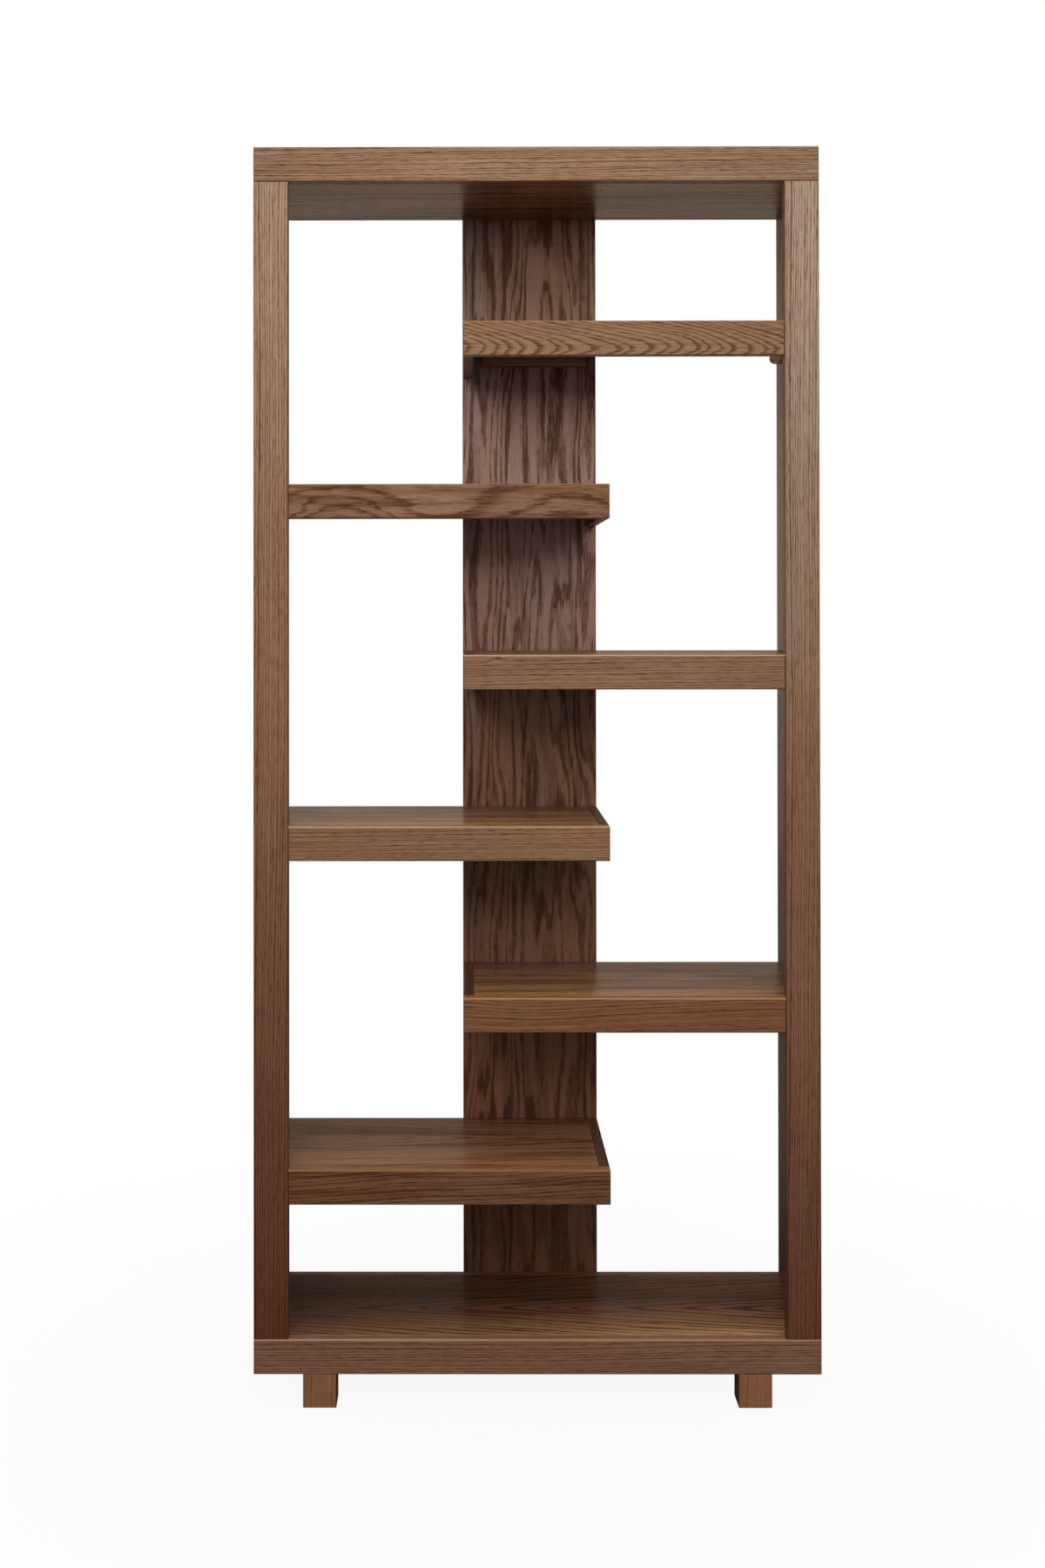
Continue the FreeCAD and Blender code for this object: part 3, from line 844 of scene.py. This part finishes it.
@dataclass(frozen=True)
class Upright:
    """A front stile with its side panel, both with painted light and shade up their height."""

    side: Side
    stile_stain: Stain
    panel_stain: Stain
    stile: Cut
    panel: Cut
    stile_fade: Stops
    panel_fade: Stops

    def dress(self) -> None:
        """Dress the stile and the panel."""
        # The stile's front and sides, and the panel, carry painted light and shade up their height.
        wear(f"{self.side.value}_front_stile", self.panel_stain, self.stile, fade=self.panel_fade,
             front=self.stile_stain, front_fade=self.stile_fade)
        wear(f"{self.side.value}_side_panel", self.panel_stain, self.panel, fade=self.panel_fade,
             roughness=BOARD_ROUGHNESS)


@dataclass(frozen=True)
class Spine:
    """The central board that carries the shelves."""

    stain: Stain
    flame: Cut
    fade: Stops
    back_tint: Colour

    def dress(self) -> None:
        """Dress the board in flame figure."""
        back_stain = self.stain.tinted(*self.back_tint)
        # Painted light and shade up the front face.
        wear("spine_panel", back_stain, self.flame, front=self.stain, front_fade=self.fade)


@dataclass(frozen=True)
class Shelf:
    """One shelf: front rail, end rail, panel and two cleats. The tints are on the panel's stain; those of the
    rail's top and the side cleats are painted light.
    """

    FIRST_SEED = 20.0
    SEEDS_EACH = 3.0

    number: int
    rail_stain: Stain
    panel_stain: Stain
    rail: Cut
    fade: Stops = ()
    # Share of wear and painted highlight on the rail's upper arrises.
    rubbed: float = 1.0
    # Painted light on the rail's top, to match the panel's lit front.
    painted_lit_edge_tint: Colour = (1.30, 1.22, 1.05)
    end_tint: Colour = (0.48, 0.37, 0.31)
    # Painted light on the side cleats, paler as if lit from behind.
    side_cleat_painted_light: Colour = (1.5, 1.6, 1.8)
    spine_cleat_tint: Colour = (0.75, 0.80, 0.85)

    def dress(self) -> None:
        """Dress the shelf's boards."""
        name, stain = f"shelf_{self.number}", self.panel_stain
        seed = self.FIRST_SEED + self.SEEDS_EACH * self.number
        panel = replace(BOARD, lean=0.12, bend=0.016, bend_waves=(2.5, 12.0), flame=0.36,
                        flame_waves=(2.6, 38.0), contrast=1.8, seed=seed)
        depth = Cut(Axis.Y, Axis.X, seed=seed + 1)
        across = Cut(Axis.X, Axis.Y, seed=seed + 2)
        wear(f"{name}_front_rail", stain.tinted(*self.painted_lit_edge_tint), self.rail, front=self.rail_stain,
             front_fade=self.fade, rubbed=self.rubbed)
        wear(f"{name}_end_rail", stain.tinted(*self.end_tint), depth, dirty_top=1.0)
        # The panel carries painted light and shade across its depth.
        wear(f"{name}_panel", stain, panel, fade_across=SHELF_PAINTED_LIGHT, roughness=BOARD_ROUGHNESS)
        wear(f"{name}_side_cleat", stain.tinted(*self.side_cleat_painted_light), depth)
        wear(f"{name}_spine_cleat", stain.tinted(*self.spine_cleat_tint), across)


@dataclass(frozen=True)
class Feet:
    """The four block feet."""

    stain: Stain
    # A paler stain on the front faces: painted light.
    painted_light_front_stain: Stain
    first_seed: float = 61.0

    def dress(self) -> None:
        """Dress the feet, their grain upright."""
        for count, (end, side) in enumerate(product(("front", "back"), Side)):
            block = replace(RAIL, grain=Axis.Z, bend=0.008, contrast=0.6, seed=self.first_seed + count)
            wear(f"foot_{end}_{side.value}", self.stain, block, front=self.painted_light_front_stain)


@dataclass(frozen=True)
class Fixings:
    """Dowels and screws."""

    plain: tuple[str, ...] = ("spine_screws", "shelf_screws", "foot_screws")
    lacquered: tuple[str, ...] = ("side_cleat_screws", "spine_cleat_screws")

    def dress(self) -> None:
        """Dress the screws in steel or lacquer, and the dowels in pale wood."""
        steel = Steel().material("screw_steel")
        lacquer = BrownLacquer().material("screw_lacquer")
        for nodes, material in ((self.plain, steel), (self.lacquered, lacquer)):
            for node in nodes:
                dress(node, material)
        wear("dowels", INNER_WOOD, Cut(Axis.Z, Axis.Y))


@dataclass(frozen=True)
class Softbox:
    """A studio lamp with a rectangular face. Metres, watts and degrees."""

    across: float
    front: float
    height: float
    width: float
    tall: float
    power: float
    aim_height: float = 2.34
    spread: float = 73.0

    def build(self) -> None:
        """Hang the lamp and turn it to the bookcase's middle line."""
        data = bpy.data.lights.new("softbox", "AREA")
        data.shape = "RECTANGLE"
        data.size = self.width
        data.size_y = self.tall
        data.energy = self.power
        data.spread = math.radians(self.spread)
        lamp = bpy.data.objects.new("softbox", data)
        lamp.location = (self.across, self.front, self.height)
        towards = Vector((0.0, 0.0, self.aim_height)) - lamp.location
        lamp.rotation_euler = towards.to_track_quat("-Z", "Y").to_euler()
        lamp.visible_glossy = False
        bpy.context.scene.collection.objects.link(lamp)


@dataclass(frozen=True)
class Studio:
    """White studio: two tall softboxes and a weak lamp in front, a weak lamp behind, a floor and the camera.

    A direction has three parts from -1 to 1: across to the right, back from the camera, and rise. A step has
    its low and high end, then its value at each. Lengths are in metres, turns in degrees.
    """

    LEVEL = 90.0
    WHITE = (1.0, 1.0, 1.0, 1.0)

    lamps: tuple[Softbox, ...] = (
        Softbox(across=-0.85, front=-3.1, height=2.60, width=0.15, tall=1.6, power=17.0),
        Softbox(across=1.05, front=-3.1, height=2.60, width=0.15, tall=1.6, power=11.5),
        Softbox(across=0.0, front=-4.0, height=1.5, width=1.2, tall=1.2, power=6.0,
                aim_height=2.0, spread=120.0),
        Softbox(across=0.0, front=4.0, height=1.3, width=1.2, tall=1.2, power=9.0,
                aim_height=1.2, spread=120.0),
    )
    sky_rise: Step = (-0.05, 0.35, 0.32, 0.70)
    veil: float = 1.2
    veil_back: Step = (-0.6, 0.0, 1.0, 0.0)
    veil_rise: Step = (-0.2, 0.35, 0.0, 1.0)
    veil_across: Step = (-0.2, 0.3, 0.8, 1.3)
    sheen: float = 0.55
    sheen_colour: Colour = (1.0, 0.80, 0.65)
    sheen_back: Step = (0.2, 0.7, 0.0, 1.0)
    sheen_head: Step = (0.05, 0.31, 1.0, 0.0)
    sheen_foot: Step = (-0.12, 0.03, 0.85, 1.25)
    sheen_across: Step = (-0.20, -0.08, 0.42, 1.0)
    gloom: float = 0.03
    floor_size: float = 14.0
    floor_drop: float = 0.0003
    floor_seen: float = 0.8
    floor_bounce: float = 0.5
    floor_glow: Step = (0.5, 1.6, 0.93, 1.0)
    floor_sheen: float = 0.12
    floor_sheen_back: Step = (0.3, 1.5, 0.0, 1.0)
    frame_width: float = 1200.0
    frame_height: float = 1800.0
    centre_x: float = 518.3
    centre_y: float = 676.8
    focal_pixels: float = 2278.0
    sensor: float = 36.0
    eye: tuple[float, float, float] = (-0.1152, -3.1376, 1.2011)
    tilt_up: float = 0.446
    tilt_right: float = 0.058
    turn_left: float = 0.242

    def build(self) -> None:
        """Build the studio."""
        self.build_world()
        self.build_floor()
        for lamp in self.lamps:
            lamp.build()
        self.build_camera()

    def build_world(self) -> None:
        """White where it shows; a soft light from above on the object, which mirrors a dimmer backdrop."""
        world = bpy.data.worlds.new("studio")
        bpy.context.scene.world = world
        world.use_nodes = True
        graph = Graph(world.node_tree)
        towards = graph.add("ShaderNodeTexCoord", {}, {})
        parts = graph.add("ShaderNodeSeparateXYZ", {}, {0: graph.out(towards, "Generated")})
        across, back, rise = (graph.out(parts, axis.name) for axis in Axis)
        seen, glossy = self.rays(graph)
        veil = back.step(*self.veil_back) * rise.step(*self.veil_rise) * across.step(*self.veil_across)
        backdrop = back.step(*self.sheen_back) * rise.step(*self.sheen_head) * rise.step(*self.sheen_foot)
        backdrop = backdrop * across.step(*self.sheen_across)
        mirrored = veil * self.veil + backdrop * self.sheen + self.gloom
        light = rise.step(*self.sky_rise)
        light = light + glossy * (mirrored - light)
        strength = light + seen * (1.0 - light)
        colour = graph.mix(glossy, self.WHITE, (*self.sheen_colour, 1.0))
        shader = graph.add("ShaderNodeBackground", {}, {"Color": colour, "Strength": strength})
        graph.add("ShaderNodeOutputWorld", {}, {"Surface": graph.out(shader, 0)})

    @staticmethod
    def rays(graph: Graph) -> tuple[Signal, Signal]:
        """Tell apart the rays that meet the studio.

        Args:
            graph: The graph to add to.

        Returns:
            1 where the camera looks straight at it, and 1 where the object mirrors it.
        """
        rays = graph.add("ShaderNodeLightPath", {}, {})
        seen = graph.out(rays, "Is Camera Ray").most(graph.out(rays, "Is Transmission Ray"))
        return seen, graph.out(rays, "Is Glossy Ray")

    def build_floor(self) -> None:
        """A pale floor that is white but for the object's shadow."""
        half = self.floor_size / 2
        mesh = bpy.data.meshes.new("floor")
        corners = [(-half, -half, 0.0), (half, -half, 0.0), (half, half, 0.0), (-half, half, 0.0)]
        mesh.from_pydata(corners, [], [(0, 1, 2, 3)])
        floor = bpy.data.objects.new("floor", mesh)
        floor.location.z = -self.floor_drop
        bpy.context.scene.collection.objects.link(floor)
        material, graph = new_material("pale_floor")
        place = graph.place()
        parts = graph.add("ShaderNodeSeparateXYZ", {}, {0: place})
        seen, glossy = self.rays(graph)
        mirrored = glossy * graph.out(parts, "Y").step(*self.floor_sheen_back) * self.floor_sheen
        share = seen.most(mirrored) * graph.length(place).step(*self.floor_glow)
        levels = (self.floor_bounce, self.floor_seen, self.gloom)
        bounce, bright, dim = ((level, level, level, 1.0) for level in levels)
        tone = graph.mix(glossy, graph.mix(seen, bounce, bright), dim)
        paint = graph.add("ShaderNodeBsdfDiffuse", {}, {"Color": tone})
        white = graph.mix(glossy, self.WHITE, (*self.sheen_colour, 1.0))
        glow = graph.add("ShaderNodeEmission", {}, {"Color": white, "Strength": 1.0})
        layers = {0: share, 1: graph.out(paint, 0), 2: graph.out(glow, 0)}
        surface = graph.out(graph.add("ShaderNodeMixShader", {}, layers), 0)
        graph.add("ShaderNodeOutputMaterial", {}, {"Surface": surface})
        mesh.materials.append(material)

    def build_camera(self) -> None:
        """The camera, all but level, its frame shifted as in the photograph."""
        data = bpy.data.cameras.new("camera")
        data.sensor_width = self.sensor
        data.lens = self.focal_pixels / self.frame_height * self.sensor
        data.shift_x = (self.frame_width / 2 - self.centre_x) / self.frame_height
        data.shift_y = -(self.frame_height / 2 - self.centre_y) / self.frame_height
        camera = bpy.data.objects.new("camera", data)
        camera.location = self.eye
        turns = (self.LEVEL + self.tilt_up, self.tilt_right, self.turn_left)
        camera.rotation_euler = [math.radians(turn) for turn in turns]
        bpy.context.scene.collection.objects.link(camera)
        bpy.context.scene.camera = camera


def slabs() -> list[Slab]:
    """The top and the base.

    Returns:
        Both slabs, the top first.
    """
    top_rail = replace(RAIL, ring=0.0026, lean=0.006, bend=0.006, waver=0.0011, feather=0.0007, contrast=1.7,
                       seed=1.0)
    top_skin = replace(BOARD, offset=0.03, lean=0.05, bend=0.02, bend_waves=(2.5, 14.0), waver=0.002,
                       feather=0.003, flame=0.4, flame_waves=(3.5, 45.0), contrast=3.2, seed=3.0)
    base_rail = replace(RAIL, lean=0.004, contrast=1.4, seed=5.0)
    base_skin = replace(BOARD, ring=0.012, heart=0.015, offset=-0.02, lean=-0.16, bend=0.014,
                        bend_waves=(2.5, 10.0), lines=1.2, flame=0.22, flame_waves=(2.4, 32.0), contrast=3.0,
                        seed=7.0)
    # Painted light and shade along the base's width: shaded on the left under the lowest shelf, lit on the
    # right.
    painted_light_right = ((0.0, (0.62, 0.52, 0.44)), (0.45, (0.98, 0.98, 1.0)), (0.75, (1.38, 1.28, 1.20)),
                    (1.0, (1.7, 1.6, 1.5)))
    return [
        Slab("top", rail_stain=OAK.tinted(0.77, 1.00, 1.08), skin_stain=OAK.tinted(0.79, 0.69, 0.58),
             rail=top_rail, skin=top_skin, depth_fade=TOP_PAINTED_LIGHT),
        Slab("base", rail_stain=OAK.tinted(1.34, 1.40, 1.49), skin_stain=OAK.tinted(0.86, 0.88, 0.77),
             rail=base_rail, skin=base_skin, depth_fade=BASE_PAINTED_LIGHT, skin_fade=painted_light_right, skin_gloss=0.1,
             rubbed=1.0),
    ]


def uprights() -> list[Upright]:
    """The two sides.

    Returns:
        Both uprights, the left one first.
    """
    # Painted light and shade up the uprights: the stiles' fronts dark and red at the foot, pale and grey at
    # the head; the panels darker at the foot.
    left_fade = ((0.0, (0.66, 0.41, 0.32)), (0.5, EVEN), (1.0, (0.99, 1.46, 1.93)))
    right_fade = ((0.0, (0.84, 0.57, 0.44)), (0.5, EVEN), (1.0, (1.14, 1.60, 2.11)))
    panel_fade = ((0.0, (0.62, 0.56, 0.50)), (0.5, EVEN), (1.0, (1.0, 1.08, 1.12)))
    sides = (
        (Side.LEFT, OAK.tinted(1.05, 1.09, 0.98), left_fade, 9.0),
        (Side.RIGHT, OAK.tinted(1.01, 1.23, 1.27), right_fade, 12.0),
    )
    made = []
    for side, stain, fade, seed in sides:
        stile = replace(RAIL, grain=Axis.Z, ring=0.0024, lean=0.004, lines=1.1, contrast=1.35, seed=seed)
        panel = Cut(Axis.Z, Axis.X, ring=0.014, heart=0.03, offset=0.02, lean=0.06, bend=0.025,
                    bend_waves=(2.0, 12.0), feather=0.003, seed=seed + 1)
        made.append(Upright(side, stain, OAK, stile, panel, fade, panel_fade))
    return made


def spine() -> Spine:
    """The central board.

    Returns:
        The spine, its front painted with light and shade along its height: dark at the foot and under the
        top, lighter where the upper shelves cast their shadows, and paler and greyer behind the middle bays.
    """
    flame = Cut(Axis.Z, Axis.Y, ring=0.013, heart=0.06, offset=0.03, lean=0.03, bend=0.038,
                bend_waves=(3.0, 26.0), waver=0.004, feather=0.0045, band=(0.34, 0.56), lines=1.2, flame=0.30,
                flame_waves=(4.5, 75.0), ragged=0.32, dashes=1.3, contrast=1.5, seed=15.0)
    # Painted light and shade up the spine's front, in stops of height.
    fade = ((0.0, (0.47, 0.35, 0.26)), (0.20, (0.77, 0.58, 0.45)), (0.36, (0.60, 0.49, 0.42)),
            (0.5, (0.70, 0.58, 0.52)), (0.6, (0.90, 0.88, 0.92)), (0.68, (1.10, 1.05, 1.30)),
            (0.76, (0.90, 0.95, 1.0)), (0.83, (1.06, 0.98, 1.26)), (0.885, (0.54, 0.52, 0.52)),
            (0.91, (0.46, 0.44, 0.43)), (1.0, (0.54, 0.46, 0.49)))
    return Spine(SPINE_OAK, flame, fade, back_tint=(0.86, 0.71, 0.61))


def shelves() -> list[Shelf]:
    """The six shelves.

    Returns:
        The shelves from the lowest up, each with its own rail.
    """
    streaked = replace(RAIL, ring=0.0040, lean=0.035, bend=0.014, bend_waves=(2.5, 8.0), waver=0.0015,
                       feather=0.0008, flame=0.25, flame_waves=(3.0, 70.0), ragged=0.12, contrast=1.75,
                       seed=21.0)
    arched = replace(RAIL, ring=0.0030, lean=0.004, bend=0.016, bend_waves=(2.2, 6.0), feather=0.0007,
                     contrast=1.3, seed=22.0)
    plain = replace(RAIL, contrast=1.5, seed=23.0)
    pin = Knot(along=-0.189, across=0.021, eye=0.004, reach=0.012, push=0.003)
    pinned = replace(RAIL, lean=0.006, contrast=1.55, seed=24.0, knots=(pin,))
    swirls = (
        Knot(along=-0.160, across=-0.022, eye=0.0, reach=0.075, push=0.032),
        Knot(along=-0.119, across=-0.004, eye=0.004, reach=0.010, push=0.004),
        Knot(along=0.170, across=-0.006, eye=0.0, reach=0.105, push=0.024),
    )
    flamed = replace(RAIL, ring=0.012, offset=0.02, bend=0.014, bend_waves=(3.0, 24.0), waver=0.004,
                     feather=0.0035, band=(0.20, 0.60), flame=0.30, flame_waves=(3.0, 90.0), dashes=1.4,
                     contrast=1.5, seed=25.0, knots=swirls)
    flamed_fade = ((0.0, EVEN), (0.27, (0.95, 0.93, 0.90)), (0.36, (1.15, 1.22, 1.32)),
                   (0.50, (1.10, 1.15, 1.22)), (0.60, (0.95, 0.93, 0.90)))
    chevron = replace(RAIL, ring=0.0046, heart=0.006, offset=-0.014, lean=0.20, bend=0.010,
                      bend_waves=(4.0, 14.0), waver=0.0014, feather=0.0010, lines=1.05, contrast=1.7,
                      seed=26.0)
    pale, palest = OAK.tinted(1.46, 1.50, 1.25), OAK.tinted(1.46, 1.60, 1.40)
    # Shelves 4 to 6 have paler end rails, whose undersides show: painted light.
    upper = Shelf(4, OAK.tinted(0.96, 1.18, 1.21), pale, pinned, end_tint=(0.70, 0.54, 0.38))
    return [
        Shelf(1, OAK.tinted(0.83, 0.72, 0.57), pale, streaked),
        Shelf(2, OAK.tinted(1.08, 1.00, 0.78), pale, arched),
        Shelf(3, OAK.tinted(1.10, 1.31, 1.27), palest, plain),
        upper,
        replace(upper, number=5, rail_stain=OAK.tinted(0.68, 0.77, 0.76), rail=flamed, fade=flamed_fade,
                rubbed=0.2),
        replace(upper, number=6, rail_stain=OAK.tinted(0.79, 0.91, 0.83), rail=chevron, rubbed=0.2),
    ]


def feet() -> Feet:
    """The block feet, their front faces paler as painted light."""
    return Feet(OAK.tinted(1.2, 1.15, 1.05), painted_light_front_stain=OAK.tinted(1.88, 1.80, 1.55))


def main() -> None:
    """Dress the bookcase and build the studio."""
    logging.basicConfig(level=logging.INFO, format="%(name)s: %(message)s")
    for piece in (*slabs(), *uprights(), spine(), *shelves(), feet(), Fixings()):
        piece.dress()
    Studio().build()
    bpy.context.scene.view_settings.view_transform = "Standard"


if __name__ == "__main__":
    main()
